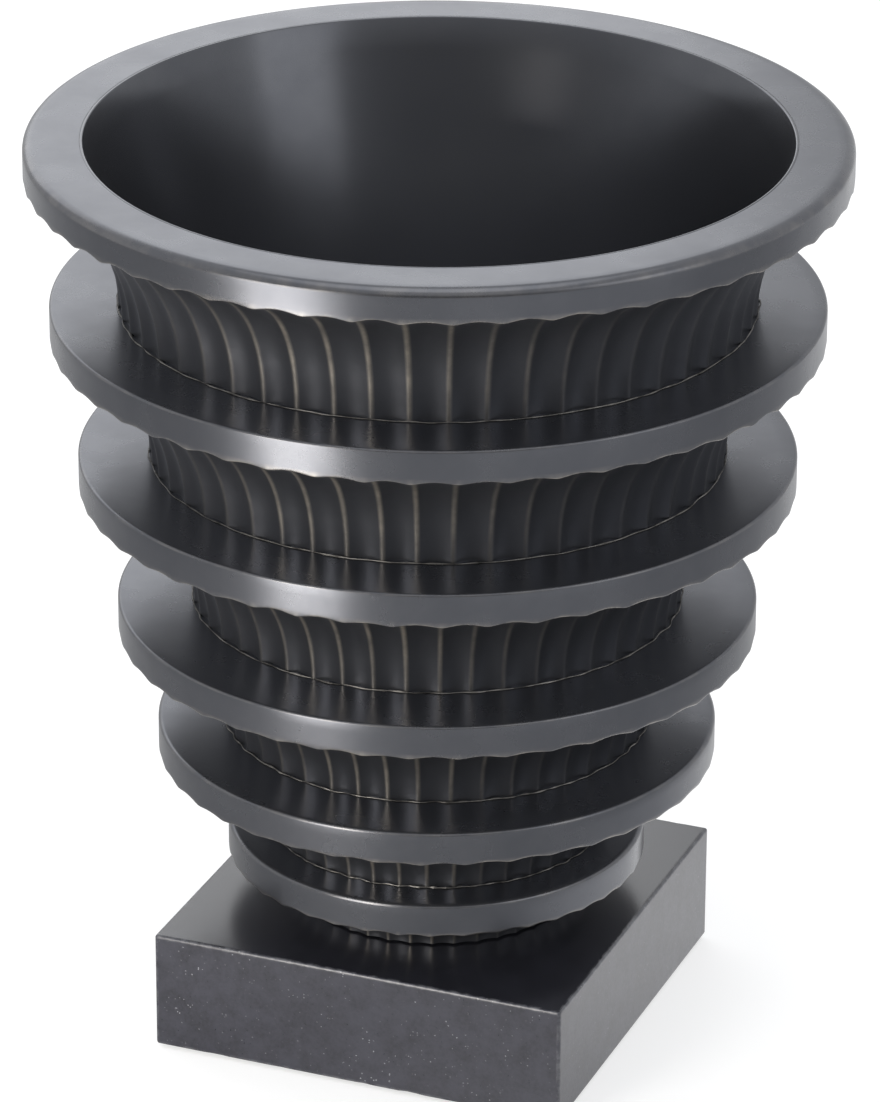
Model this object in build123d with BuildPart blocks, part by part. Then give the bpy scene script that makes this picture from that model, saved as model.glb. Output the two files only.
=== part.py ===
from build123d import *
from math import cos, radians, sin, tan
import os

# A footed vase: six fluted, cored ring castings stacked on a square stone block, lined by a spun
# bowl. Millimetres, +Z up, the origin under the middle of the block on the surface that it stands
# on, the sides of the block along X and Y.

# Heights, from the surface that the vase stands on
pad_thickness = 2.0
stone_top = 68.0
gasket_thickness = 1.0
foot_top = 111.0
fifth_top = 172.0
fourth_top = 243.0
third_top = 326.0
second_top = 410.0
rim_top = 500.0

# Flange radii
rim_radius = 215.0
second_radius = 203.0
third_radius = 189.5
fourth_radius = 170.0
fifth_radius = 149.5
foot_radius = 112.5

# Drum radii at the foot of each drum, over the arrises of its flutes
rim_drum = 167.0
second_drum = 152.0
third_drum = 130.0
fourth_drum = 113.5
fifth_drum = 92.0
foot_drum = 76.0

# How many flutes go round each tier, and where its first arris stands, in degrees from +X
rim_flutes = 54
second_flutes = 52
third_flutes = 48
fourth_flutes = 44
fifth_flutes = 40
foot_flutes = 40
rim_first_arris = -66.7
second_first_arris = -65.2
third_first_arris = -67.9
fourth_first_arris = -64.8
fifth_first_arris = -62.7
foot_first_arris = -60.8

# Castings
flange_edge = 18.5
arch_rise = 1.6
drum_flute_depth = 2.2
lip_angle = 20.0
cove_turn = 75.0
rim_round = 3.0
flange_round = 1.5
cove_wall = 4.5
flange_wall = 4.0
web_thickness = 9.0
register_height = 3.0
register_width = 2.6
register_clearance = 0.15

# Spun bowl
mouth_radius = 184.0
bowl_slope = 0.32
bowl_wall = 1.5
bowl_floor = 123.0
bowl_corner = 10.0
bowl_lip_round = 0.6
bowl_clearance = 0.1

# Foot plate
ledge_thickness = 7.0
ledge_bore = 32.0
plate_thickness = 10.0
plate_clearance = 0.2
boss_radius = 16.0

# Centre bolt and washers
bolt_radius = 6.0
bolt_length = 90.0
bolt_tip_chamfer = 1.2
bolt_head_across_flats = 19.0
bolt_head_height = 7.5
bolt_hole_clearance = 1.0
thread_clearance = 0.05
tap_runout = 3.0
flat_washer_radius = 15.0
flat_washer_thickness = 2.5
spring_washer_radius = 10.6
spring_washer_thickness = 3.0
spring_washer_split = 2.0
washer_clearance = 0.4

# Dowels against turning
dowel_radius = 4.0
dowel_length = 28.0
dowel_in_plate = 8.0
dowel_circle = 46.0
dowel_clearance = 0.05
dowel_chamfer = 0.6

# Gasket
gasket_inset = 3.0
gasket_bore = 24.0

# Stone block and its pads
stone_side = 232.0
stone_arris = 2.0
bolt_recess_radius = 21.0
bolt_recess_depth = 24.0
pad_radius = 12.0
pad_inset = 28.0

# Levels through which a fluted cove is lofted
cove_levels = 5

foot_bottom = stone_top + gasket_thickness
plate_bottom = foot_bottom + ledge_thickness
dowel_top = plate_bottom + dowel_in_plate
dowel_bottom = dowel_top - dowel_length
recess_top = pad_thickness + bolt_recess_depth
bolt_seat = recess_top - flat_washer_thickness - spring_washer_thickness
dowel_spots = PolarLocations(dowel_circle, 2)


def bowl_radius(height):
    """Inner radius of the bowl's straight cone at a height."""
    return mouth_radius - bowl_slope * (rim_top - height)


def bore_radius(height):
    """Radius of the castings' tapered bores, which hold the outside of the bowl."""
    return bowl_radius(height) + bowl_wall + bowl_clearance


class Cove:
    """The hollow under a flange: a stretch of ellipse, upright at the foot, and a straight lip."""

    def __init__(self, foot_r, foot_z, edge_r, edge_z):
        turn = radians(cove_turn)
        self.foot_r = foot_r
        self.foot_z = foot_z
        self.edge_r = edge_r
        self.edge_z = edge_z
        self.lip_slope = tan(radians(lip_angle))
        spare = (edge_z - foot_z) / self.lip_slope - (edge_r - foot_r)
        self.half_width = spare * cos(turn) / (1 - cos(turn))
        self.half_height = self.half_width * self.lip_slope * tan(turn)
        self.turn_z = foot_z + self.half_height * sin(turn)

    def radius(self, height):
        """Radius at a height. Past the edge it runs on along the lip."""
        if height >= self.turn_z:
            return self.edge_r + (height - self.edge_z) / self.lip_slope
        share = (height - self.foot_z) / self.half_height
        return self.foot_r + self.half_width * (1 - (1 - share * share) ** 0.5)

    def levels(self):
        """Heights to loft through, closer together where the ellipse turns outward."""
        rise = self.turn_z - self.foot_z
        turns = [radians(cove_turn) * i / (cove_levels - 1) for i in range(cove_levels)]
        return [self.foot_z + rise * sin(turn) / sin(turns[-1]) for turn in turns] + [self.edge_z]

    def outline(self):
        """The curve itself, in the plane of a section, from the foot up to the edge."""
        centre = (self.foot_r + self.half_width, self.foot_z)
        EllipticalCenterArc(centre, self.half_width, self.half_height, 180, arc_size=-cove_turn)
        Line((self.radius(self.turn_z), self.turn_z), (self.edge_r, self.edge_z))


def fluted_level(height, arris_r, valley_r, flutes, first_arris):
    """The closed row of shallow hollow arcs in which a level plane cuts a fluted cove."""
    step = 360 / flutes
    arrises = [Vector(arris_r, 0).rotate(Axis.Z, first_arris + step * i) for i in range(flutes)]
    valleys = [Vector(valley_r, 0).rotate(Axis.Z, first_arris + step * (i + 0.5)) for i in range(flutes)]
    arcs = [
        ThreePointArc(arrises[i], valleys[i], arrises[(i + 1) % flutes])
        for i in range(flutes)
    ]
    with BuildSketch(Plane.XY.offset(height)) as level:
        make_face(arcs)
    return level.sketch


def make_tier(top_z, bottom_z, flange_r, drum_r, flutes, first_arris, edge_round=flange_round,
              web=web_thickness, bore_from=None, registers_above=True, registers_below=True):
    """One casting: a flange over a fluted cove that turns down into a drum, cored from inside."""
    edge_z = top_z - flange_edge
    over_arches = edge_z + 1.5 * arch_rise
    arris = Cove(drum_r, bottom_z, flange_r, edge_z)
    valley = Cove(drum_r - drum_flute_depth, bottom_z, flange_r, edge_z + arch_rise)
    core = Cove(drum_r - drum_flute_depth - cove_wall, bottom_z + web,
                flange_r - flange_wall, edge_z + arch_rise + flange_wall)
    bore_start = bottom_z if bore_from is None else bore_from
    bore_end = top_z + register_height

    with BuildPart() as tier:
        # Fluted cove and drum, trimmed to the flange's edge
        loft([
            fluted_level(height, arris.radius(height), valley.radius(height), flutes, first_arris)
            for height in arris.levels() + [over_arches]
        ], ruled=True)
        with BuildSketch(Plane.XY.offset(bottom_z)):
            Circle(flange_r)
        extrude(amount=over_arches - bottom_z, mode=Mode.INTERSECT)
        # Flange
        with BuildSketch(Plane.XY.offset(over_arches)):
            Circle(flange_r)
        extrude(amount=top_z - over_arches)
        fillet(tier.edges().filter_by(GeomType.CIRCLE).group_by(Axis.Z)[-1], edge_round)
        # Register ring that centres the tier above
        if registers_above:
            with BuildSketch(Plane.XY.offset(top_z)):
                Circle(bore_radius(top_z) + register_width)
            extrude(amount=register_height)
        # Rebate for the register ring of the tier below
        if registers_below:
            with BuildSketch(Plane.XY.offset(bottom_z)):
                Circle(bore_radius(bottom_z) + register_width + register_clearance)
            extrude(amount=register_height + register_clearance, mode=Mode.SUBTRACT)
        # Tapered bore for the bowl
        with BuildSketch(Plane.XZ):
            with BuildLine():
                Polyline(
                    (0, bore_start),
                    (bore_radius(bore_start), bore_start),
                    (bore_radius(bore_end), bore_end),
                    (0, bore_end),
                    close=True,
                )
            make_face()
        revolve(axis=Axis.Z, mode=Mode.SUBTRACT)
        # Cored hollow between the web at the foot and the top of the flange
        with BuildSketch(Plane.XZ):
            with BuildLine():
                core.outline()
                Polyline(
                    (core.edge_r, core.edge_z),
                    (core.edge_r, top_z - flange_wall),
                    (0, top_z - flange_wall),
                    (0, core.foot_z),
                    (core.foot_r, core.foot_z),
                )
            make_face()
        revolve(axis=Axis.Z, mode=Mode.SUBTRACT)
    return tier


# Ring castings

rim_tier = make_tier(rim_top, second_top, rim_radius, rim_drum, rim_flutes, rim_first_arris,
                     edge_round=rim_round, registers_above=False)
second_tier = make_tier(second_top, third_top, second_radius, second_drum, second_flutes,
                        second_first_arris)
third_tier = make_tier(third_top, fourth_top, third_radius, third_drum, third_flutes,
                       third_first_arris)
fourth_tier = make_tier(fourth_top, fifth_top, fourth_radius, fourth_drum, fourth_flutes,
                        fourth_first_arris)
fifth_tier = make_tier(fifth_top, foot_top, fifth_radius, fifth_drum, fifth_flutes,
                       fifth_first_arris)

# The lowest casting, whose ledge the foot plate clamps to the stone

foot_casting = make_tier(foot_top, foot_bottom, foot_radius, foot_drum, foot_flutes,
                         foot_first_arris, web=ledge_thickness, bore_from=plate_bottom,
                         registers_below=False)
with BuildPart() as foot_tier:
    add(foot_casting.part)
    with BuildSketch(Plane.XY.offset(foot_bottom)):
        Circle(ledge_bore)
        with dowel_spots:
            Circle(dowel_radius + dowel_clearance)
    extrude(amount=ledge_thickness, mode=Mode.SUBTRACT)

# Spun bowl that lines the castings and makes them hold water

with BuildPart() as inner_bowl:
    bowl_bottom = bowl_floor - bowl_wall
    with BuildSketch(Plane.XZ) as bowl_section:
        with BuildLine():
            Polyline(
                (0, bowl_floor),
                (bowl_radius(bowl_floor), bowl_floor),
                (mouth_radius, rim_top),
                (mouth_radius + bowl_wall, rim_top),
                (bowl_radius(bowl_bottom) + bowl_wall, bowl_bottom),
                (0, bowl_bottom),
                close=True,
            )
        make_face()
        outer_corners = bowl_section.vertices().filter_by(lambda v: v.X > 0).sort_by(Axis.Y)
        fillet(outer_corners[0], bowl_corner + bowl_wall)
        inner_corners = bowl_section.vertices().filter_by(lambda v: v.Y > bowl_bottom and v.X > 0)
        fillet(inner_corners.sort_by(Axis.X)[0], bowl_corner)
        lip_corners = bowl_section.vertices().filter_by(lambda v: v.Y > rim_top - bowl_wall)
        fillet(lip_corners.sort_by(Axis.X)[0], bowl_lip_round)
    revolve(axis=Axis.Z)

# Foot plate, with a tapped boss that reaches up to carry the bowl's floor

with BuildPart() as foot_plate:
    with BuildSketch(Plane.XY.offset(plate_bottom)):
        Circle(bore_radius(foot_top) - plate_clearance)
    extrude(amount=plate_thickness)
    with BuildSketch(Plane.XY.offset(plate_bottom)):
        Circle(boss_radius)
    extrude(amount=bowl_floor - bowl_wall - plate_bottom)
    with BuildSketch(Plane.XY.offset(plate_bottom)):
        Circle(bolt_radius + thread_clearance)
    extrude(amount=bolt_seat + bolt_length + tap_runout - plate_bottom, mode=Mode.SUBTRACT)
    with BuildSketch(Plane.XY.offset(plate_bottom)):
        with dowel_spots:
            Circle(dowel_radius + dowel_clearance)
    extrude(amount=dowel_in_plate, mode=Mode.SUBTRACT)

# Gasket between the lowest casting and the stone

with BuildPart() as foot_gasket:
    with BuildSketch(Plane.XY.offset(stone_top)):
        Circle(foot_drum - drum_flute_depth - gasket_inset)
        Circle(gasket_bore, mode=Mode.SUBTRACT)
        with dowel_spots:
            Circle(dowel_radius + dowel_clearance, mode=Mode.SUBTRACT)
    extrude(amount=gasket_thickness)

# Stone block, with a recess under it for the bolt's head

with BuildPart() as stone_base:
    with BuildSketch(Plane.XY.offset(pad_thickness)):
        Rectangle(stone_side, stone_side)
    extrude(amount=stone_top - pad_thickness)
    fillet(stone_base.edges(), stone_arris)
    with BuildSketch(Plane.XY.offset(pad_thickness)):
        Circle(bolt_recess_radius)
    extrude(amount=bolt_recess_depth, mode=Mode.SUBTRACT)
    with BuildSketch(Plane.XY.offset(pad_thickness)):
        Circle(bolt_radius + bolt_hole_clearance)
    extrude(amount=stone_top - pad_thickness, mode=Mode.SUBTRACT)
    with BuildSketch(Plane.XY.offset(dowel_bottom)):
        with dowel_spots:
            Circle(dowel_radius + dowel_clearance)
    extrude(amount=stone_top - dowel_bottom, mode=Mode.SUBTRACT)

# Centre bolt, up through the stone into the foot plate's boss

with BuildPart() as centre_bolt:
    with BuildSketch(Plane.XY.offset(bolt_seat - bolt_head_height)):
        RegularPolygon(bolt_head_across_flats / 2, 6, major_radius=False)
    extrude(amount=bolt_head_height)
    with BuildSketch(Plane.XY.offset(bolt_seat)):
        Circle(bolt_radius)
    extrude(amount=bolt_length)
    chamfer(centre_bolt.faces().sort_by(Axis.Z)[-1].edges(), bolt_tip_chamfer)

with BuildPart() as flat_washer:
    with BuildSketch(Plane.XY.offset(recess_top - flat_washer_thickness)):
        Circle(flat_washer_radius)
        Circle(bolt_radius + washer_clearance, mode=Mode.SUBTRACT)
    extrude(amount=flat_washer_thickness)

with BuildPart() as spring_washer:
    with BuildSketch(Plane.XY.offset(bolt_seat)):
        Circle(spring_washer_radius)
        Circle(bolt_radius + washer_clearance, mode=Mode.SUBTRACT)
        with Locations((spring_washer_radius, 0)):
            Rectangle(spring_washer_radius * 2, spring_washer_split, mode=Mode.SUBTRACT)
    extrude(amount=spring_washer_thickness)

# Two dowels that stop the castings from turning on the stone

with BuildPart() as dowel_pins:
    with BuildSketch(Plane.XY.offset(dowel_bottom)):
        with dowel_spots:
            Circle(dowel_radius)
    extrude(amount=dowel_length)
    chamfer(dowel_pins.edges().filter_by(GeomType.CIRCLE), dowel_chamfer)

# Pads under the corners of the stone


def make_pad(x, y):
    """One round pad, its face on the surface that the vase stands on."""
    with BuildPart() as pad:
        with BuildSketch(Plane.XY):
            with Locations((x, y)):
                Circle(pad_radius)
        extrude(amount=pad_thickness)
    return pad


pad_offset = stone_side / 2 - pad_inset
pads = {
    "front_left_pad": make_pad(-pad_offset, -pad_offset),
    "front_right_pad": make_pad(pad_offset, -pad_offset),
    "back_right_pad": make_pad(pad_offset, pad_offset),
    "back_left_pad": make_pad(-pad_offset, pad_offset),
}

pieces = {
    "rim_tier": rim_tier,
    "second_tier": second_tier,
    "third_tier": third_tier,
    "fourth_tier": fourth_tier,
    "fifth_tier": fifth_tier,
    "foot_tier": foot_tier,
    "inner_bowl": inner_bowl,
    "foot_plate": foot_plate,
    "foot_gasket": foot_gasket,
    "stone_base": stone_base,
    "centre_bolt": centre_bolt,
    "flat_washer": flat_washer,
    "spring_washer": spring_washer,
    "dowel_pins": dowel_pins,
    **pads,
}

os.makedirs("parts", exist_ok=True)
for name, piece in pieces.items():
    piece.part.label = name
    export_step(piece.part, f"parts/{name}.step")
    print(f"{name}: {piece.part.volume / 1000:.1f} cm3")
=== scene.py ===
# %% [markdown]
# # A fluted brass vase on a stone block
#
# The vase is a stack of six ring castings in brass with a dark patina. Each casting is a wide
# flange over a hollow cove of flutes, and the rings get smaller towards a square block of dark
# stone. A smooth spun bowl lines them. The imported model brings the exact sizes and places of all
# pieces. This script gives every visible piece its fine shape and finish, and lights it like a
# catalogue picture.

# %% The frame and the tools
import bmesh
import bpy
import math
import random
from collections import namedtuple

import numpy as np
from mathutils import Matrix, Vector


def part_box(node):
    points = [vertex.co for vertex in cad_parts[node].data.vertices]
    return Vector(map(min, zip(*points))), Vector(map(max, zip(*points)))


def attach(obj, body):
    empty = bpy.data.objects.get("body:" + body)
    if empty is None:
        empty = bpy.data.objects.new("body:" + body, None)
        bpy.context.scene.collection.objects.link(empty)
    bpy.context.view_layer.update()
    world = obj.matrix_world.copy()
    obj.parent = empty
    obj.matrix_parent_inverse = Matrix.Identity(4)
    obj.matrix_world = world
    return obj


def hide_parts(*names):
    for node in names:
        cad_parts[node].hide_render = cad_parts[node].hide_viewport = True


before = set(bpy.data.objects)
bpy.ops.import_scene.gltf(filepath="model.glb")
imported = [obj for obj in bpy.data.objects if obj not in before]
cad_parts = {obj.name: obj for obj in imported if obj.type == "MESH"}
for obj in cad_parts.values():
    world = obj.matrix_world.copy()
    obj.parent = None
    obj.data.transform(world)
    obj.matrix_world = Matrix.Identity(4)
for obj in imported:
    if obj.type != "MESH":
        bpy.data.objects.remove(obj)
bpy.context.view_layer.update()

MM = 0.001

# %% [markdown]
# ## The camera
#
# A picture of a vase is taken from a good distance with a long lens, so the rings stay nearly even
# ellipses. The viewpoint was found by fitting the ellipses of the six rings and the corners of the
# stone to the picture. The camera stands about 22 degrees round from the front of the block and
# looks down by 24 degrees. A tiny roll stands for a camera that wasn't quite level.

# %% Camera
# Degrees, and metres from the axis and above the floor
CAMERA_AZIMUTH = 21.6
CAMERA_DISTANCE = 3.017
CAMERA_HEIGHT = 1.625
CAMERA_PITCH = 24.27
CAMERA_YAW = -0.026
CAMERA_ROLL = 0.25
LENS_MM = 203.4
SENSOR_MM = 36.0
CLIP_END = 50.0


def around(azimuth, distance, height):
    """A point at an azimuth in degrees round the vase's axis, 0 in front of the stone's -Y side."""
    a = math.radians(azimuth)
    return Vector((math.sin(a) * distance, -math.cos(a) * distance, height))


def make_camera():
    data = bpy.data.cameras.new("studio_camera")
    data.lens = LENS_MM
    data.sensor_width = SENSOR_MM
    data.clip_end = CLIP_END
    camera = bpy.data.objects.new("studio_camera", data)
    bpy.context.scene.collection.objects.link(camera)
    turn = Matrix.Rotation(math.radians(CAMERA_AZIMUTH + CAMERA_YAW), 4, "Z")
    tilt = Matrix.Rotation(math.radians(90 - CAMERA_PITCH), 4, "X")
    roll = Matrix.Rotation(math.radians(CAMERA_ROLL), 4, "Z")
    place = Matrix.Translation(around(CAMERA_AZIMUTH, CAMERA_DISTANCE, CAMERA_HEIGHT))
    camera.matrix_world = place @ turn @ tilt @ roll
    bpy.context.scene.camera = camera
    return camera


studio_camera = make_camera()
print("camera at", [round(v, 3) for v in studio_camera.matrix_world.translation])

# %% [markdown]
# ## The sizes of the ring castings
#
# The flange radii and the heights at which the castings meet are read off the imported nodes, so the
# fine meshes can't drift from the model. What a box can't tell, such as the radius of a drum under
# its flange or the number of flutes, is written here in millimetres.

# %% Tier sizes
Tier = namedtuple("Tier", "drum_r flutes first_arris flute_depth arch_rise top_round")
# drum_r is measured over the arrises, and first_arris in degrees from +X
TIERS = {
    "rim_tier": Tier(167.0, 54, -66.7, 2.5, 1.6, 4.4),
    "second_tier": Tier(152.0, 52, -65.2, 2.3, 1.5, 1.5),
    "third_tier": Tier(130.0, 48, -67.9, 2.1, 1.4, 1.5),
    "fourth_tier": Tier(113.5, 44, -64.8, 1.9, 1.2, 1.5),
    "fifth_tier": Tier(92.0, 40, -62.7, 1.7, 1.0, 1.9),
    "foot_tier": Tier(76.0, 40, -60.8, 1.3, 0.9, 2.4),
}
ORDER = list(TIERS)
REGISTER_HEIGHT = 3.0
FLANGE_EDGE = 18.5
LIP_ANGLE = 20.0
COVE_TURN = 75.0
BOWL_SLOPE = 0.32
BOWL_WALL = 1.5
BOWL_CLEARANCE = 0.1
MOUTH_RADIUS = 184.0
RIM_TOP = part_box("inner_bowl")[1].z / MM
BOWL_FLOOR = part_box("inner_bowl")[0].z / MM + BOWL_WALL


def bore_radius(height):
    """Radius of the tapered hole through the castings, which the bowl fills."""
    return MOUTH_RADIUS - BOWL_SLOPE * (RIM_TOP - height) + BOWL_WALL + BOWL_CLEARANCE


def tier_heights(name):
    """Bottom and top of a casting, without the low ring that centres the next one."""
    low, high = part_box(name)
    top = high.z / MM - (0 if name == "rim_tier" else REGISTER_HEIGHT)
    return low.z / MM, top


# %% [markdown]
# ## The cove
#
# Under each flange a hollow curve turns down into the drum. It is a stretch of an ellipse, upright
# at the foot, that runs out into a straight lip. Written as a formula it gives a smooth line for
# any tier, and the same formula with other ends gives the bottom of the flutes.

# %% Cove curve


class Cove:
    """Points from the foot of a drum out to the lower edge of its flange."""

    def __init__(self, foot_r, foot_z, edge_r, edge_z):
        turn = math.radians(COVE_TURN)
        self.foot_r = foot_r
        self.foot_z = foot_z
        self.edge = (edge_r, edge_z)
        slope = math.tan(math.radians(LIP_ANGLE))
        spare = (edge_z - foot_z) / slope - (edge_r - foot_r)
        self.half_width = spare * math.cos(turn) / (1 - math.cos(turn))
        self.half_height = self.half_width * slope * math.tan(turn)
        self.turned = self.on_ellipse(1.0)

    def on_ellipse(self, share):
        a = math.radians(COVE_TURN) * share
        return (self.foot_r + self.half_width * (1 - math.cos(a)),
                self.foot_z + self.half_height * math.sin(a))

    def on_lip(self, share):
        return (self.turned[0] + (self.edge[0] - self.turned[0]) * share,
                self.turned[1] + (self.edge[1] - self.turned[1]) * share)

    def points(self, on_curve, on_lip):
        curve = [self.on_ellipse(i / on_curve) for i in range(on_curve)]
        lip = [self.on_lip(i / on_lip) for i in range(on_lip)]
        return curve + lip


# %% [markdown]
# ## A ring casting
#
# The casting is one closed skin. Every flute takes twelve columns of the skin, which lie closer at
# its two arrises. A row in the cove swings from the arris curve to the flute's bottom curve and
# back. The flutes were cut by hand, so each gets its own width, depth and height of arch from a
# seeded draw.
#
# Hands rub the patina through a little on the arrises. Towards the side that faces the lamp at the
# front left the arris lines are made much paler, as a painted highlight. Each column keeps how pale
# its line is, from wear and painted highlight, and the material reads that from an attribute.

# %% Flute columns
ACROSS_FLUTE = (0.0, 0.025, 0.055, 0.1, 0.18, 0.32, 0.5, 0.68, 0.82, 0.9, 0.945, 0.975)
ARRIS_SOFT = 0.22
HAND_WIDTH = 0.035
HAND_DEPTH = 0.16
HAND_ARCH = 0.25
HAND_TIP = 0.25
TIP_REACH = 0.3
# Direction in degrees from +X of the side whose arris lines get a painted highlight from the lamp at
# the front left, how fast it fades, and the real wear that is left all round
LAMP_LIT_SIDE = -82.4
LAMP_LIT_FADE = 10
RUBBED_LEAST = 0.07
WEAR_AND_HIGHLIGHT_UNEVEN = (0.7, 1.0)
# Width of the rubbed line with its painted highlight as a share of a flute, and how flat its middle
# is
ARRIS_LINE_WIDTH = 0.08
ARRIS_LINE_FLAT = 1.6


def fade(distance, reach):
    """1 at no distance, 0 from the reach on."""
    return max(1 - distance / reach, 0)


def hollow(across):
    """How deep a flute is at a share of its width: 0 on the softened arrises, 1 in the middle."""
    sharp = 1 - (2 * across - 1) ** 2
    return (math.hypot(sharp, ARRIS_SOFT) - ARRIS_SOFT) / (math.hypot(1, ARRIS_SOFT) - ARRIS_SOFT)


def wave(across):
    """The arch over a flute in the flange's lower edge: between a round arch and a wave."""
    return 0.5 * hollow(across) + 0.5 * math.sin(math.pi * across) ** 2


def flute_columns(flutes, first_arris, draw):
    """For each column of a tier: angle, depth share, arch share, tip drop and pale-line share (wear,
    and painted highlight on the lamp-lit side).
    """
    step = 2 * math.pi / flutes
    shift = [draw.uniform(-HAND_WIDTH, HAND_WIDTH) for _ in range(flutes)]
    depth = [1 + draw.uniform(-HAND_DEPTH, HAND_DEPTH) for _ in range(flutes)]
    arch = [1 + draw.uniform(-HAND_ARCH, HAND_ARCH) for _ in range(flutes)]
    tip = [draw.uniform(0, HAND_TIP) for _ in range(flutes)]
    wear_and_highlight = []
    for i in range(flutes):
        # Painted highlight: the arris lines grow much paler towards the side that faces the lamp at
        # the front left, above the real wear left all round
        facing = max(math.cos(math.radians(first_arris - LAMP_LIT_SIDE) + step * i), 0.0)
        share = RUBBED_LEAST + (1 - RUBBED_LEAST) * facing ** LAMP_LIT_FADE
        wear_and_highlight.append(draw.uniform(*WEAR_AND_HIGHLIGHT_UNEVEN) * share)
    columns = []
    for i in range(flutes):
        after = (i + 1) % flutes
        start = i + shift[i]
        end = i + 1 + shift[after]
        for across in ACROSS_FLUTE:
            angle = math.radians(first_arris) + step * (start + (end - start) * across)
            near = min(ARRIS_LINE_FLAT * fade(min(across, 1 - across), ARRIS_LINE_WIDTH), 1.0)
            near *= wear_and_highlight[i] if across < 0.5 else wear_and_highlight[after]
            drop = tip[i] * fade(across, TIP_REACH) + tip[after] * fade(1 - across, TIP_REACH)
            columns.append((angle, hollow(across) * depth[i], wave(across) * arch[i], drop, near))
    return columns


# %% [markdown]
# ## A skin from rows of points
#
# The castings, the bowl and the seams are all built the same way: rows of points that close on
# themselves, with a face between every four neighbours. Faces are shaded smooth, and an edge stays
# crisp where the section turns sharply.

# %% Skin of rows
CRISP_ANGLE = math.radians(50)


def skin_object(name, rows, closed=True, attributes=None):
    """A mesh from rows of points in mm. closed also joins the last row to the first."""
    count = len(rows)
    around_count = len(rows[0])
    points = np.array(rows, float).reshape(-1, 3) * MM
    faces = []
    for j in range(count if closed else count - 1):
        k = (j + 1) % count
        for i in range(around_count):
            n = (i + 1) % around_count
            faces.append((j * around_count + i, j * around_count + n,
                          k * around_count + n, k * around_count + i))
    mesh = bpy.data.meshes.new(name)
    mesh.from_pydata(points.tolist(), [], faces)
    mesh.polygons.foreach_set("use_smooth", [True] * len(mesh.polygons))
    mesh.set_sharp_from_angle(angle=CRISP_ANGLE)
    for key, values in (attributes or {}).items():
        layer = mesh.attributes.new(key, "FLOAT", "POINT")
        layer.data.foreach_set("value", np.array(values, np.float32).ravel())
    mesh.update()
    piece = bpy.data.objects.new(name, mesh)
    bpy.context.scene.collection.objects.link(piece)
    return piece


# %% [markdown]
# ## From foot to bore
#
# The rows of a casting follow its section: up the fluted drum and cove, round the soft lower edge
# with its arches, up the flange's edge, round the top edge, in over the flat top and down the bore.

# %% Tier mesh
CURVE_ROWS = 18
LIP_ROWS = 7
SIDE_ROWS = 4
ROUND_ROWS = 7
TOP_ROWS = 7
# An arris line is palest half way up, as wear and painted highlight, and it ends before the flange
ARRIS_LINE_AT_FOOT = 0.45
ARRIS_LINE_END = 1.3
# Inset from the flange's edge, rise above the arch and wear, for the rows of the soft lower edge
EDGE_SOFT = 0.9
LOWER_EDGE = ((EDGE_SOFT, 0.0, 0.5), (0.35, 0.02, 1.0), (0.08, 0.3, 1.0), (0.0, 0.85, 0.3))
# The soft lower edge carries a tenth of the arris line, wear and painted highlight
LOWER_EDGE_ARRIS_LINE = 0.1
HIGHEST_ARCH = 1.5
ABOVE_ARCHES = 1.2
# The round of the top edge reaches further in than down
ROUND_WIDER = 1.25
ROUND_WEAR = 0.25


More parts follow.
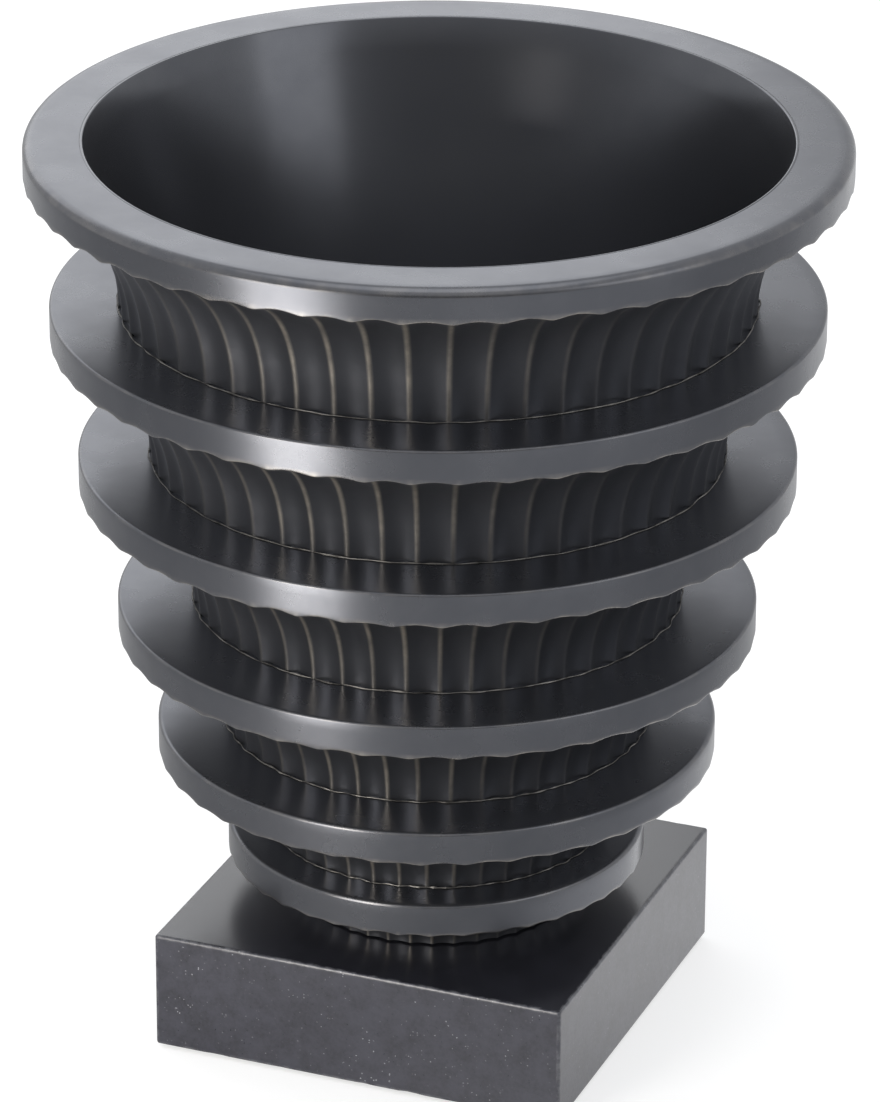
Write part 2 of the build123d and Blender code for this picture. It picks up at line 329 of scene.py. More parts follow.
def make_tier(name, draw):
    """The fine skin of one ring casting."""
    drum_r, flutes, first_arris, flute_depth, arch_rise, top_round = TIERS[name]
    bottom, top = tier_heights(name)
    flange_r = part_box(name)[1].x / MM
    edge_z = top - FLANGE_EDGE
    arris_line = Cove(drum_r, bottom, flange_r - EDGE_SOFT, edge_z).points(CURVE_ROWS, LIP_ROWS)
    valley_line = Cove(drum_r - flute_depth, bottom, flange_r - EDGE_SOFT,
                       edge_z + arch_rise).points(CURVE_ROWS, LIP_ROWS)
    columns = flute_columns(flutes, first_arris, draw)
    rows = []
    nearness = []
    edge_rows = []
    cast_rows = []

    def add_row(point_of, near_share=0.0, edge_share=0.0, cast=0.0):
        rows.append([])
        nearness.append([])
        edge_rows.append([edge_share] * len(columns))
        cast_rows.append([cast] * len(columns))
        for angle, deep, arch, drop, near in columns:
            r, z = point_of(deep, arch, drop)
            rows[-1].append((r * math.cos(angle), r * math.sin(angle), z))
            nearness[-1].append(near * near_share)

    # Fluted drum, cove and lip
    for j, (ridge, trough) in enumerate(zip(arris_line, valley_line)):
        share = j / len(arris_line)
        # How pale the arris line is at this height: wear and painted highlight
        middle = math.sin(math.pi * min(share * ARRIS_LINE_END, 1.0))
        wear_and_highlight_here = ARRIS_LINE_AT_FOOT + (1 - ARRIS_LINE_AT_FOOT) * middle

        def fluted(deep, arch, drop, ridge=ridge, trough=trough, share=share):
            mix = deep * (1 - share) + arch * share
            return (ridge[0] + (trough[0] - ridge[0]) * mix,
                    ridge[1] + (trough[1] - ridge[1]) * mix - drop * share)

        add_row(fluted, near_share=wear_and_highlight_here, cast=1.0)
    # Soft lower edge of the flange, with its arches
    for inset, rise, worn in LOWER_EDGE:
        add_row(lambda deep, arch, drop, inset=inset, rise=rise: (
            flange_r - inset, edge_z + arch_rise * arch + rise - drop), LOWER_EDGE_ARRIS_LINE, worn)
    # Upright edge, rounded top edge and flat top of the flange
    side_low = edge_z + arch_rise * HIGHEST_ARCH + ABOVE_ARCHES
    side_high = top - top_round
    for j in range(SIDE_ROWS):
        z = side_low + (side_high - side_low) * j / (SIDE_ROWS - 1)
        add_row(lambda deep, arch, drop, z=z: (flange_r, z))
    round_width = ROUND_WIDER * top_round
    for j in range(1, ROUND_ROWS + 1):
        a = math.pi / 2 * j / ROUND_ROWS
        add_row(lambda deep, arch, drop, a=a: (
            flange_r - round_width * (1 - math.cos(a)), side_high + top_round * math.sin(a)),
            edge_share=ROUND_WEAR * math.cos(a))
    flat_r = flange_r - round_width
    for j in range(1, TOP_ROWS + 1):
        r = flat_r + (bore_radius(top) - flat_r) * j / TOP_ROWS
        add_row(lambda deep, arch, drop, r=r: (r, top))
    # Bore, and back under the drum
    add_row(lambda deep, arch, drop: (bore_radius((top + bottom) / 2), (top + bottom) / 2))
    add_row(lambda deep, arch, drop: (bore_radius(bottom), bottom))
    piece = skin_object(name + "_skin", rows, attributes={
        "arris": nearness, "worn_edge": edge_rows, "as_cast": cast_rows})
    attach(piece, "root")
    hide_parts(name)
    return piece


tier_skins = {name: make_tier(name, random.Random(20 + i)) for i, name in enumerate(ORDER)}
print("tier skins:", {name: len(piece.data.polygons) for name, piece in tier_skins.items()})

# %% [markdown]
# ## The spun bowl
#
# The inside is a plain cone that was spun from sheet, with a softly broken lip that shows as a thin
# line inside the rim. Its rows are full circles: from the floor up the cone, over the lip and down
# the outside.

# %% Bowl mesh
BOWL_COLUMNS = 288
BOWL_CORNER = 10.0
CORNER_STEPS = 8
INNER_ROWS = 24
OUTER_ROWS = 6
FLOOR_RADII = (20.0, 40.0)
LIP_ROUND = 0.6
LIP_OUT = 0.8
LIP_START = 160
LIP_STEPS = 4
LIP_BREAK = 0.15


def arc_points(centre, radius, start, end, steps):
    """Points of an arc in a section, angles in degrees."""
    angles = [math.radians(start + (end - start) * i / steps) for i in range(steps + 1)]
    return [(centre[0] + radius * math.cos(a), centre[1] + radius * math.sin(a)) for a in angles]


def line_points(start, end, steps):
    """Points of a straight line in a section, without its start."""
    return [(start[0] + (end[0] - start[0]) * i / steps, start[1] + (end[1] - start[1]) * i / steps)
            for i in range(1, steps + 1)]


def cap_ends(piece):
    """Closes the first and the last row of an open skin with flat faces."""
    work = bmesh.new()
    work.from_mesh(piece.data)
    bmesh.ops.holes_fill(work, edges=[edge for edge in work.edges if edge.is_boundary])
    bmesh.ops.recalc_face_normals(work, faces=work.faces)
    work.to_mesh(piece.data)
    work.free()
    return piece


def make_bowl():
    lean = math.degrees(math.atan(BOWL_SLOPE))
    foot_r = MOUTH_RADIUS - BOWL_SLOPE * (RIM_TOP - BOWL_FLOOR)
    half_turn = math.radians(90 - lean) / 2
    inner_reach = BOWL_CORNER * math.tan(half_turn)
    corner = (foot_r - inner_reach, BOWL_FLOOR + BOWL_CORNER)
    inner = [(r, BOWL_FLOOR) for r in FLOOR_RADII]
    inner += arc_points(corner, BOWL_CORNER, -90, -lean, CORNER_STEPS)
    low = inner[-1]
    high = (MOUTH_RADIUS - BOWL_SLOPE * LIP_ROUND, RIM_TOP - LIP_ROUND)
    inner += line_points(low, high, INNER_ROWS)
    lip = arc_points((MOUTH_RADIUS + LIP_ROUND * LIP_OUT, RIM_TOP - LIP_ROUND), LIP_ROUND,
                     LIP_START, 90, LIP_STEPS)
    outer_r = MOUTH_RADIUS + BOWL_WALL
    outer = [(outer_r - LIP_BREAK, RIM_TOP), (outer_r, RIM_TOP - LIP_BREAK)]
    outer += line_points(outer[-1], (low[0] + BOWL_WALL, low[1]), OUTER_ROWS)
    outer += arc_points(corner, BOWL_CORNER + BOWL_WALL, -lean, -90, CORNER_STEPS)
    outer += [(r, BOWL_FLOOR - BOWL_WALL) for r in reversed(FLOOR_RADII)]
    section = inner + lip + outer
    turns = [2 * math.pi * i / BOWL_COLUMNS for i in range(BOWL_COLUMNS)]
    rows = [[(r * math.cos(a), r * math.sin(a), z) for a in turns] for r, z in section]
    piece = cap_ends(skin_object("bowl_skin", rows, closed=False))
    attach(piece, "root")
    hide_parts("inner_bowl")
    return piece


bowl_skin = make_bowl()
print("bowl skin:", len(bowl_skin.data.polygons), "faces")

# %% [markdown]
# ## The brazed seams
#
# Each casting is brazed to the flange that it stands on. What shows is a thin bright line of filler
# round the foot of the drum, a little wavy and with a blob here and there. It is a fine ring of
# mesh that hugs the drum, with its thickness drawn from a seed.

# %% Seam mesh
SEAM_COLUMNS = 540
SEAM_SIDES = 6
SEAM_THICK = 0.42
SEAM_SWELL = 0.4
SEAM_BLOB = 1.1
SEAM_OUT = 0.35
SEAM_WOBBLE = 0.45
SEAM_LIFT = 0.25
# How many waves are added up, and the most that one of them makes in a turn
WOBBLE_WAVES = (7, 60)
SWELL_WAVES = (9, 90)
# A blob stands where the swell, taken a bit further round, passes this value
BLOB_SHIFT = 1.3
BLOB_FROM = 1.0


def wave_sum(draw, waves, most):
    """A smooth closed wobble between about -1 and 1, as a function of the angle."""
    parts = [(draw.randint(2, most), draw.uniform(0, 2 * math.pi)) for _ in range(waves)]
    return lambda angle: sum(math.sin(n * angle + phase) for n, phase in parts) / waves ** 0.5


def make_seam(name, draw):
    bottom, _ = tier_heights(name)
    wobble = wave_sum(draw, *WOBBLE_WAVES)
    swell = wave_sum(draw, *SWELL_WAVES)
    rows = []
    for side in range(SEAM_SIDES):
        a = 2 * math.pi * side / SEAM_SIDES
        row = []
        for i in range(SEAM_COLUMNS):
            turn = 2 * math.pi * i / SEAM_COLUMNS
            blob = SEAM_BLOB * max(swell(turn + BLOB_SHIFT) - BLOB_FROM, 0)
            thick = SEAM_THICK * (1 + SEAM_SWELL * swell(turn) + blob)
            r = TIERS[name].drum_r + SEAM_OUT + SEAM_WOBBLE * wobble(turn)
            row.append(((r + thick * math.cos(a)) * math.cos(turn),
                        (r + thick * math.cos(a)) * math.sin(turn),
                        bottom + SEAM_LIFT + thick * math.sin(a)))
        rows.append(row)
    piece = skin_object(name + "_seam", rows)
    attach(piece, "root")
    return piece


seams = [make_seam(name, random.Random(60 + i)) for i, name in enumerate(ORDER[:-1])]
print("seams:", [piece.name for piece in seams])

# %% [markdown]
# ## The stone block
#
# The block is sawn and honed granite. Its arrises are only eased by hand, so they are nearly sharp,
# with small chips. A grid with lines crowded at the edges is drawn onto a rounded box, and seeded
# bites take a little more off the arrises here and there. The points of the arrises are marked for
# the material.

# %% Stone mesh
STONE_EASE = 1.6
STONE_CHIP = 0.9
CHIP_COUNT = 900
CHIP_SMALL, CHIP_LARGE = 2.0, 7.0
LINES_ACROSS = 46
LINES_UP = 14
NEAR_EDGE = (0.0, 0.35, 0.8, 1.4, 2.2, 3.5)


def crowded(low, high, count):
    """Values from low to high that lie closer together at both ends."""
    last = NEAR_EDGE[-1]
    inner = [low + last + (high - low - 2 * last) * i / count for i in range(1, count)]
    return [low + n for n in NEAR_EDGE] + inner + [high - n for n in reversed(NEAR_EDGE)]


def make_stone(draw):
    low, high = (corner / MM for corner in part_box("stone_base"))
    lines = [crowded(low[i], high[i], LINES_ACROSS if i < 2 else LINES_UP) for i in range(3)]
    chips = [(Vector([draw.uniform(low[i], high[i]) for i in range(3)]),
              draw.uniform(CHIP_SMALL, CHIP_LARGE)) for _ in range(CHIP_COUNT)]
    spots = {}
    eased = set()

    def place(p):
        key = tuple(round(v, 3) for v in p)
        if key in spots:
            return spots[key]
        inner = Vector([min(max(v, low[i] + STONE_EASE), high[i] - STONE_EASE)
                        for i, v in enumerate(p)])
        out = Vector(p) - inner
        reach = STONE_EASE
        if sum(abs(v) > 0.01 for v in out) > 1:
            eased.add(key)
            bite = max((1 - (Vector(p) - spot).length / size for spot, size in chips), default=0)
            reach -= STONE_CHIP * max(bite, 0)
        point = inner + out.normalized() * reach if out.length > 0 else inner
        spots[key] = work.verts.new(point * MM)
        return spots[key]

    work = bmesh.new()
    for axis in range(3):
        u, v = (axis + 1) % 3, (axis + 2) % 3
        for end in (low[axis], high[axis]):
            for i in range(len(lines[u]) - 1):
                for j in range(len(lines[v]) - 1):
                    corners = []
                    for a, b in ((i, j), (i + 1, j), (i + 1, j + 1), (i, j + 1)):
                        p = [0.0, 0.0, 0.0]
                        p[axis], p[u], p[v] = end, lines[u][a], lines[v][b]
                        corners.append(place(p))
                    work.faces.new(corners)
    bmesh.ops.recalc_face_normals(work, faces=work.faces)
    mesh = bpy.data.meshes.new("stone_skin")
    work.to_mesh(mesh)
    work.free()
    mesh.polygons.foreach_set("use_smooth", [True] * len(mesh.polygons))
    worn = mesh.attributes.new("worn_edge", "FLOAT", "POINT")
    worn.data.foreach_set("value", [1.0 if key in eased else 0.0 for key in spots])
    piece = bpy.data.objects.new("stone_skin", mesh)
    bpy.context.scene.collection.objects.link(piece)
    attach(piece, "root")
    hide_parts("stone_base")
    return piece


stone_skin = make_stone(random.Random(7))
print("stone skin:", len(stone_skin.data.polygons), "faces")

# %% [markdown]
# ## Building materials from nodes
#
# Every finish below is made of the same few steps: noise at a real scale, a span that turns it into
# a share, and mixes of colours by that share. A few short helpers keep those steps readable.

# %% Node helpers


def new_material(name):
    material = bpy.data.materials.new(name)
    material.use_nodes = True
    nodes = material.node_tree.nodes
    nodes.clear()
    output = nodes.new("ShaderNodeOutputMaterial")
    shader = nodes.new("ShaderNodeBsdfPrincipled")
    material.node_tree.links.new(shader.outputs[0], output.inputs[0])
    return material, material.node_tree, shader


def node(tree, kind, inputs=None, **settings):
    """A node with its settings, and its inputs given as values or as sockets to link."""
    made = tree.nodes.new(kind)
    for key, value in settings.items():
        setattr(made, key, value)
    for key, value in (inputs or {}).items():
        if isinstance(value, bpy.types.NodeSocket):
            tree.links.new(value, made.inputs[key])
        else:
            made.inputs[key].default_value = value
    return made


def object_space(tree):
    return node(tree, "ShaderNodeTexCoord").outputs["Object"]


def noise(tree, per_metre, detail=4.0, rough=0.5):
    return node(tree, "ShaderNodeTexNoise", {
        "Vector": object_space(tree), "Scale": per_metre,
        "Detail": detail, "Roughness": rough}).outputs[0]


def attribute(tree, name):
    """A value that the mesh keeps for each of its points."""
    return node(tree, "ShaderNodeAttribute", attribute_name=name).outputs["Fac"]


def span(tree, value, low, high, to_low=0.0, to_high=1.0):
    """Stretches a value from one range to another, and holds it at the ends."""
    return node(tree, "ShaderNodeMapRange", {
        "Value": value, "From Min": low, "From Max": high,
        "To Min": to_low, "To Max": to_high}).outputs[0]


def calc(tree, operation, a, b):
    """One sum with two shares. A sum or a difference is held between 0 and 1."""
    made = node(tree, "ShaderNodeMath", {0: a, 1: b}, operation=operation)
    made.use_clamp = operation in ("ADD", "SUBTRACT")
    return made.outputs[0]


def mix_colour(tree, share, first, second):
    made = tree.nodes.new("ShaderNodeMix")
    made.data_type = "RGBA"
    for index, value in ((0, share), (6, first), (7, second)):
        socket = made.inputs[index]
        if isinstance(value, bpy.types.NodeSocket):
            tree.links.new(value, socket)
        else:
            socket.default_value = value
    return made.outputs[2]


def bump(tree, height, strength, distance, under=None):
    inputs = {"Height": height, "Strength": strength, "Distance": distance}
    if under is not None:
        inputs["Normal"] = under
    return node(tree, "ShaderNodeBump", inputs).outputs[0]


def grey(value, tint):
    """A grey with a cool tint, as a linear colour."""
    return (value * (1 - 0.3 * tint), value, value * (1 + tint), 1.0)


# %% [markdown]
# ## Patinated brass
#
# The castings are brass under a nearly black patina that was waxed and buffed. It mirrors like a
# dull dark metal, a bit blue, and it is rubbed through to pale brass along the cut edges and a
# little on the arrises. On the arrises that face the lamp at the front left much more pale brass is
# mixed in, as a painted highlight. So the base is a metal with a low grey reflectance that varies in
# clouds, and the wear and painted-highlight attributes blend brass in, broken up by noise. The
# flutes are left a little rougher than the turned flanges, with a fine bump from the casting. The
# bowl gets the same patina, smoother and with nothing rubbed.

# %% Patina
PATINA_METAL = 0.86
CAST_ROUGHER = 0.1
PATINA_THIN = grey(0.112, 0.11)
PATINA_THICK = grey(0.096, 0.13)
BOWL_THIN = grey(0.105, 0.09)
BOWL_THICK = grey(0.095, 0.11)
# Pale brass of the real wear, also painted onto the lamp-lit arrises as a highlight
BRASS_WEAR_AND_HIGHLIGHT = (0.74, 0.67, 0.57, 1.0)
FLANGE_SHEEN = 0.26
BOWL_SHEEN = 0.21
CLOUD_SHEEN = 0.04
# Sizes of the noise, in waves to a metre
PATINA_CLOUDS = 22.0
RUBBED_BREAKS = 75.0
HAND_DENTS = 30.0
CASTING_PITS = 140.0


def patina_material(name, thin, thick, sheen, rub):
    material, tree, shader = new_material(name)
    clouds = span(tree, noise(tree, PATINA_CLOUDS, 5.0, 0.6), 0.35, 0.65)
    colour = mix_colour(tree, clouds, thin, thick)
    if rub:
        broken = span(tree, noise(tree, RUBBED_BREAKS, 4.0, 0.6), 0.38, 0.66)
        mostly = span(tree, broken, 0.0, 1.0, 0.55, 1.0)
        hardly = span(tree, broken, 0.0, 1.0, 0.05, 0.35)
        # The arris attribute is real wear and, towards the lamp at the front left, a painted
        # highlight
        on_arris = calc(tree, "MULTIPLY", attribute(tree, "arris"), mostly)
        on_edge = calc(tree, "MULTIPLY", attribute(tree, "worn_edge"), hardly)
        rubbed_and_lit = calc(tree, "ADD", on_arris, on_edge)
        colour = mix_colour(tree, rubbed_and_lit, colour, BRASS_WEAR_AND_HIGHLIGHT)
    tree.links.new(colour, shader.inputs["Base Color"])
    shader.inputs["Metallic"].default_value = PATINA_METAL
    roughness = span(tree, clouds, 0.0, 1.0, sheen, sheen + CLOUD_SHEEN)
    dents = bump(tree, noise(tree, HAND_DENTS, 2.0, 0.5), strength=0.06, distance=0.001)
    if rub:
        cast = attribute(tree, "as_cast")
        cast_off_line = calc(tree, "SUBTRACT", cast, on_arris)
        roughness = calc(tree, "ADD", roughness, calc(tree, "MULTIPLY", cast_off_line, CAST_ROUGHER))
        pits = calc(tree, "MULTIPLY", noise(tree, CASTING_PITS, 3.0, 0.5), cast)
        dents = bump(tree, pits, strength=0.2, distance=0.0006, under=dents)
    tree.links.new(roughness, shader.inputs["Roughness"])
    tree.links.new(dents, shader.inputs["Normal"])
    return material


patina = patina_material("patinated_brass", PATINA_THIN, PATINA_THICK, FLANGE_SHEEN, rub=True)
bowl_patina = patina_material("bowl_brass", BOWL_THIN, BOWL_THICK, BOWL_SHEEN, rub=False)
for piece in tier_skins.values():
    piece.data.materials.append(patina)
bowl_skin.data.materials.append(bowl_patina)
print("nodes in the patina:", len(patina.node_tree.nodes), "and the bowl's:",
      len(bowl_patina.node_tree.nodes))

# %% [markdown]
# ## Granite
#
# Black granite is a dark, slightly cool stone with a fine mixed grain and pale crystals of about a
# millimetre, which lie in drifts. The honed sides are duller and show the crystals best, while the
# top was polished and mirrors the casting over it. The face's own normal tells the two finishes
# apart.

# %% Crystals
# As shares of a cell: how far noise bends an outline, and how softly a crystal ends
CRYSTAL_BEND = 0.9
CRYSTAL_EDGE = 0.14


def flecks(tree, per_metre, share, size):
    """Small irregular crystals in a share of the cells, with outlines that noise has eaten into."""
    warp = node(tree, "ShaderNodeTexNoise", {
        "Vector": object_space(tree), "Scale": per_metre * 2.0, "Detail": 3.0}).outputs["Color"]
    bent = node(tree, "ShaderNodeVectorMath", {0: warp, "Scale": CRYSTAL_BEND / per_metre},
                operation="SCALE")
    place = node(tree, "ShaderNodeVectorMath", {0: object_space(tree), 1: bent.outputs[0]},
                 operation="ADD").outputs[0]
    cells = node(tree, "ShaderNodeTexVoronoi", {"Vector": place, "Scale": per_metre})
    pick = node(tree, "ShaderNodeSeparateColor", {0: cells.outputs["Color"]})
    inside = span(tree, cells.outputs["Distance"], size, size + CRYSTAL_EDGE, 1.0, 0.0)
    bright = calc(tree, "MULTIPLY", span(tree, pick.outputs[0], 1 - share, 1 - share + 0.01),
                  span(tree, pick.outputs[1], 0.0, 1.0, 0.25, 1.0))
    return calc(tree, "MULTIPLY", inside, bright)


# %% Stone finish
STONE_DARK = (0.0175, 0.018, 0.026, 1.0)
STONE_LIGHT = (0.031, 0.031, 0.044, 1.0)
STONE_CLOUD = (0.044, 0.045, 0.062, 1.0)
CRYSTAL = grey(0.42, 0.06)
CHIPPED = grey(0.3, 0.06)
POLISHED_DARK = grey(0.012, 0.1)
POLISHED_ROUGHNESS = 0.27
HONED_ROUGHER = 0.105
STONE_SPECULAR = 0.82
# Sizes of the noise, in waves to a metre
STONE_GRAIN = 520.0
STONE_CLOUDS = 80.0
CRYSTAL_DRIFTS = 34.0
CHIPPED_PLACES = 180.0
# Cells to a metre, the share of them that hold a crystal, and its radius as a share of the cell
LARGE_CRYSTALS = (380.0, 0.03, 0.15)
SMALL_CRYSTALS = (800.0, 0.06, 0.22)


def stone_material():
    material, tree, shader = new_material("dark_stone")
    grain = noise(tree, STONE_GRAIN, 6.0, 0.7)
    clouds = noise(tree, STONE_CLOUDS, 5.0, 0.7)
    base = mix_colour(tree, span(tree, grain, 0.38, 0.66), STONE_DARK, STONE_LIGHT)
    base = mix_colour(tree, span(tree, clouds, 0.38, 0.62, 0.0, 0.7), base, STONE_CLOUD)
    normal = node(tree, "ShaderNodeNewGeometry").outputs["Normal"]
    polished = span(tree, node(tree, "ShaderNodeSeparateXYZ", {0: normal}).outputs[2], 0.8, 0.95)
    pale = calc(tree, "ADD", flecks(tree, *LARGE_CRYSTALS), flecks(tree, *SMALL_CRYSTALS))
    in_drifts = span(tree, noise(tree, CRYSTAL_DRIFTS, 3.0, 0.6), 0.44, 0.6, 0.1, 1.0)
    pale = calc(tree, "MULTIPLY", pale, in_drifts)
    shown = calc(tree, "MULTIPLY", pale, span(tree, polished, 0.0, 1.0, 1.0, 0.1))
    colour = mix_colour(tree, shown, base, CRYSTAL)
    colour = mix_colour(tree, calc(tree, "MULTIPLY", polished, 0.6), colour, POLISHED_DARK)
    in_places = span(tree, noise(tree, CHIPPED_PLACES, 4.0, 0.6), 0.42, 0.66, 0.0, 0.3)
    chipped = calc(tree, "MULTIPLY", attribute(tree, "worn_edge"), in_places)
    colour = mix_colour(tree, chipped, colour, CHIPPED)
    tree.links.new(colour, shader.inputs["Base Color"])
    shader.inputs["Specular IOR Level"].default_value = STONE_SPECULAR
    honed = span(tree, polished, 0.0, 1.0, 1.0, 0.0)
    rougher = calc(tree, "MULTIPLY", span(tree, grain, 0.3, 0.7, 0.0, HONED_ROUGHER), honed)
    tree.links.new(calc(tree, "ADD", rougher, POLISHED_ROUGHNESS), shader.inputs["Roughness"])
    relief = calc(tree, "MULTIPLY", grain, span(tree, polished, 0.0, 1.0, 1.0, 0.1))
    tree.links.new(bump(tree, relief, strength=0.12, distance=0.0003), shader.inputs["Normal"])
    return material


stone_skin.data.materials.append(stone_material())

# %% [markdown]
# ## The small pieces
#
# The seams are bare filler metal that has dulled in patches. The bolt, washers and dowels are zinc
# plated, the foot plate is turned brass, the gasket is rubber and the pads are felt. They hardly
# show, but each gets its own grain.

# %% Small finishes


def dimmed(colour, share):
    return tuple(v * share for v in colour[:3]) + (1.0,)


def plain_metal(name, colour, roughness, per_metre, dullest=0.6):
    """Bare metal with a grain of so many waves a metre, dull in patches."""
    material, tree, shader = new_material(name)
    spread = noise(tree, per_metre, 4.0, 0.6)
    mixed = mix_colour(tree, span(tree, spread, 0.3, 0.7), colour, dimmed(colour, dullest))
    tree.links.new(mixed, shader.inputs["Base Color"])
    shader.inputs["Metallic"].default_value = 1.0
    dulled = span(tree, spread, 0.3, 0.7, roughness, roughness + 0.15)
    tree.links.new(dulled, shader.inputs["Roughness"])
    tree.links.new(bump(tree, spread, strength=0.2, distance=0.0002), shader.inputs["Normal"])
    return material


def dull_material(name, colour, per_metre, depth):
    """Rubber or felt: matt, with a relief of the given depth in metres."""
    material, tree, shader = new_material(name)
    spread = noise(tree, per_metre, 6.0, 0.7)
    mixed = mix_colour(tree, span(tree, spread, 0.3, 0.7), colour, dimmed(colour, 0.5))
    tree.links.new(mixed, shader.inputs["Base Color"])
    shader.inputs["Roughness"].default_value = 0.9
    tree.links.new(bump(tree, spread, strength=0.6, distance=depth), shader.inputs["Normal"])
    return material


def dress(nodes, material):
    """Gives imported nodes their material."""
    for name in nodes:
        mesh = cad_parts[name].data
        mesh.materials.clear()
        mesh.materials.append(material)


filler = plain_metal("seam_filler", (0.26, 0.25, 0.235, 1.0), 0.4, 110.0, 0.15)
for piece in seams:
    piece.data.materials.append(filler)
dress(["foot_plate"], plain_metal("raw_brass", (0.72, 0.55, 0.28, 1.0), 0.3, 400.0))
dress(["centre_bolt", "flat_washer", "spring_washer", "dowel_pins"],
      plain_metal("plated_steel", (0.62, 0.62, 0.64, 1.0), 0.35, 500.0))
dress(["foot_gasket"], dull_material("black_rubber", (0.03, 0.03, 0.03, 1.0), 700.0, 0.0002))
dress(["front_left_pad", "front_right_pad", "back_right_pad", "back_left_pad"],
      dull_material("pad_felt", (0.05, 0.05, 0.052, 1.0), 1500.0, 0.0008))
print("materials:", sorted(material.name for material in bpy.data.materials))

# %% [markdown]
# ## The studio
#
# Dark metal shows its surroundings more than its own colour, so the studio is most of the look. The
# floor is seen as plain white. For mirror rays it is bright behind the vase, beside the stone and
# at the front right, and dim on the left and close in front, which is why the upright edges of the
# flanges are light at both sides and deep in the middle. The room is white too, with a dark region
# low in front that keeps the inside of the bowl dark.

# %% Floor
WHITE = (1.0, 1.0, 1.0, 1.0)
FLOOR_REACH = 6.0
FLOOR_GREY = (0.5, 0.5, 0.5, 1.0)
FLOOR_GLOW = 0.6
LEFT = around(CAMERA_AZIMUTH - 100, 1.0, 0.0)
FRONT = around(CAMERA_AZIMUTH, 1.0, 0.0)
STONE_SIDE = around(CAMERA_AZIMUTH + 100, 0.24, 0.0)
# Two distances in metres, and how bright mirror rays find the floor at each of them
AHEAD = (0.25, 1.1, 0.2, 0.95)
BEHIND = (-1.0, -0.15, 1.05, 0.3)
DIM_LEFT = (-0.7, 0.3, 1.0, 0.32)
BY_THE_STONE = (0.1, 0.42, 1.6, 0.0)


def along(tree, place, direction):
    """How far a place lies in a direction."""
    return node(tree, "ShaderNodeVectorMath", {0: place, 1: direction},
                operation="DOT_PRODUCT").outputs["Value"]


def floor_in_mirrors(tree):
    """Brightness of the floor for mirror rays, as a share of its glow."""
    place = object_space(tree)
    front = along(tree, place, FRONT)
    far = calc(tree, "MAXIMUM", span(tree, front, *AHEAD), span(tree, front, *BEHIND))
    far = calc(tree, "MULTIPLY", far, span(tree, along(tree, place, LEFT), *DIM_LEFT))
    beside = node(tree, "ShaderNodeVectorMath", {0: place, 1: STONE_SIDE}, operation="DISTANCE")
    return calc(tree, "MAXIMUM", far, span(tree, beside.outputs["Value"], *BY_THE_STONE))


def make_floor():
    mesh = bpy.data.meshes.new("studio_floor")
    sides = ((-1, -1), (1, -1), (1, 1), (-1, 1))
    mesh.from_pydata([(x * FLOOR_REACH, y * FLOOR_REACH, 0) for x, y in sides], [], [(0, 1, 2, 3)])
    floor = bpy.data.objects.new("studio_floor", mesh)
    bpy.context.scene.collection.objects.link(floor)
    material, tree, shader = new_material("white_sweep")
    shader.inputs["Base Color"].default_value = FLOOR_GREY
    shader.inputs["Roughness"].default_value = 0.7
    shader.inputs["Specular IOR Level"].default_value = 0.1
    path = node(tree, "ShaderNodeLightPath")
    mirrored = calc(tree, "MULTIPLY", path.outputs["Is Glossy Ray"], floor_in_mirrors(tree))
    seen = calc(tree, "MAXIMUM", path.outputs["Is Camera Ray"], mirrored)
    strength = calc(tree, "MULTIPLY", seen, FLOOR_GLOW)
    glow = node(tree, "ShaderNodeEmission", {"Color": WHITE, "Strength": strength})
    added = node(tree, "ShaderNodeAddShader", {0: shader.outputs[0], 1: glow.outputs[0]})
    output = next(made for made in tree.nodes if made.type == "OUTPUT_MATERIAL")
    tree.links.new(added.outputs[0], output.inputs[0])
    mesh.materials.append(material)


make_floor()
print("floor:", 2 * FLOOR_REACH, "m across")

# %% Room
DARK_SIDE = around(CAMERA_AZIMUTH - 9, 1.0, 0.0)
ROOM_DARK = (0.11, 0.11, 0.115, 1.0)
ROOM_WHITE = (0.85, 0.86, 0.88, 1.0)
# Where the room turns dark towards that side, and where it is white again further up
DARK_ACROSS = (0.25, 0.92)
DARK_UP = (0.18, 0.62, 1.0, 0.0)


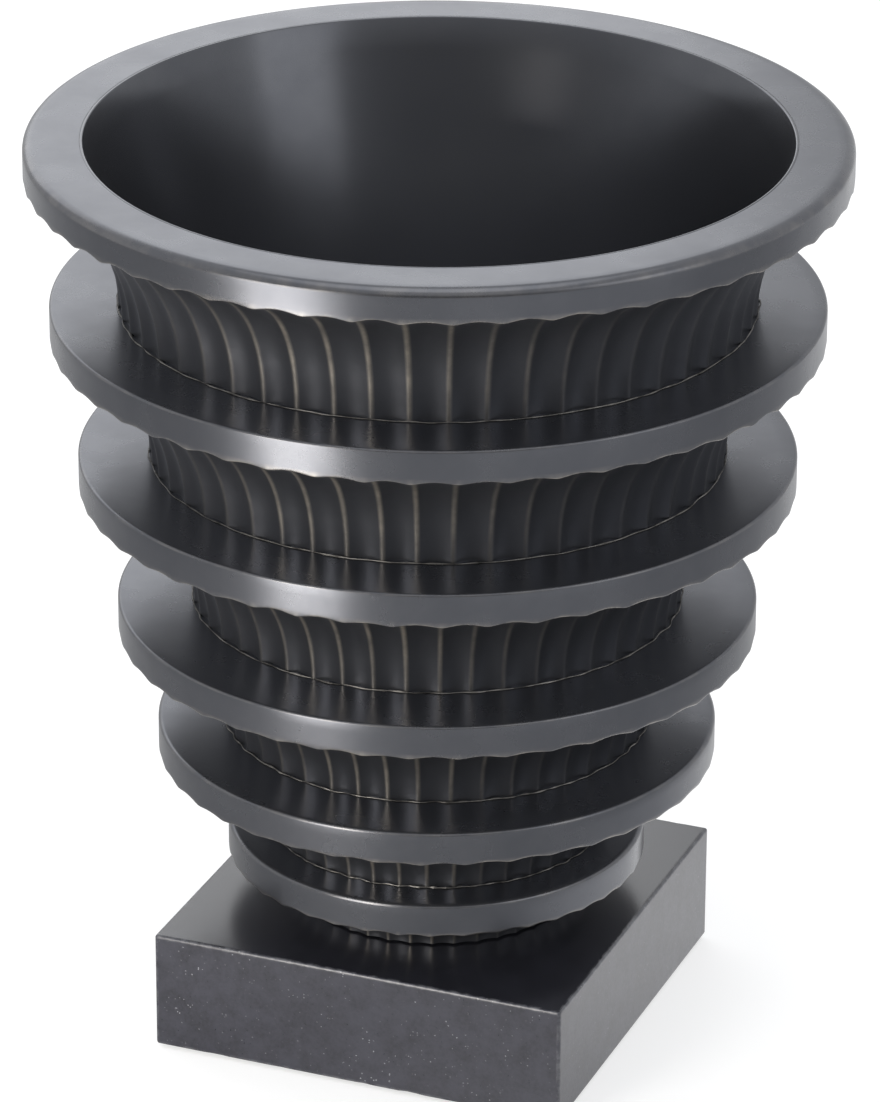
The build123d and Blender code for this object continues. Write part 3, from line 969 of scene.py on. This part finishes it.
def make_world():
    world = bpy.data.worlds.new("studio_world")
    bpy.context.scene.world = world
    world.use_nodes = True
    tree = world.node_tree
    tree.nodes.clear()
    direction = node(tree, "ShaderNodeTexCoord").outputs["Generated"]
    toward = span(tree, along(tree, direction, DARK_SIDE), *DARK_ACROSS)
    height = node(tree, "ShaderNodeSeparateXYZ", {0: direction}).outputs[2]
    low = span(tree, height, *DARK_UP)
    room = mix_colour(tree, calc(tree, "MULTIPLY", toward, low), ROOM_WHITE, ROOM_DARK)
    seen = node(tree, "ShaderNodeLightPath").outputs["Is Camera Ray"]
    colour = mix_colour(tree, seen, room, WHITE)
    light = node(tree, "ShaderNodeBackground", {"Color": colour, "Strength": 1.0})
    output = tree.nodes.new("ShaderNodeOutputWorld")
    tree.links.new(light.outputs[0], output.inputs[0])


make_world()

# %% [markdown]
# ## Soft boxes
#
# A tall box low at the front left draws the bright band down the left of every flange. One at the
# right puts the glow into the bowl. A wide one behind is what the flat flange tops mirror, and one
# overhead softens the round of the rim. Their azimuths are counted from the camera's.

# %% Soft boxes
COOL = (0.97, 0.98, 1.0)
WARM = (1.0, 0.96, 0.9)


def soft_box(name, azimuth, distance, height, width, tall, power, colour, aim=0.25):
    """A rectangular lamp, turned to a point on the vase's axis at the height of aim."""
    data = bpy.data.lights.new(name, "AREA")
    data.shape = "RECTANGLE"
    data.size = width
    data.size_y = tall
    data.energy = power
    data.color = colour
    lamp = bpy.data.objects.new(name, data)
    bpy.context.scene.collection.objects.link(lamp)
    spot = around(CAMERA_AZIMUTH + azimuth, distance, height)
    to_vase = Vector((0, 0, aim)) - spot
    turn = to_vase.to_track_quat("-Z", "Y").to_matrix().to_4x4()
    lamp.matrix_world = Matrix.Translation(spot) @ turn
    lamp.visible_camera = False


# Azimuth in degrees, distance, height, width and height of the lamp in metres, power in watts
soft_box("left_box", -37, 0.8, 0.3, 0.28, 0.6, 4.5, WARM, aim=0.3)
soft_box("right_box", 52, 1.5, 0.98, 0.8, 0.8, 2.3, COOL)
soft_box("back_box", 199, 1.6, 1.21, 1.66, 1.0, 6.6, COOL, aim=0.45)
soft_box("top_box", 0, 0.05, 2.0, 1.3, 1.3, 6.0, COOL, aim=0.45)

bpy.context.scene.view_settings.view_transform = "Standard"
print("lamps:", sorted(lamp.name for lamp in bpy.data.lights))
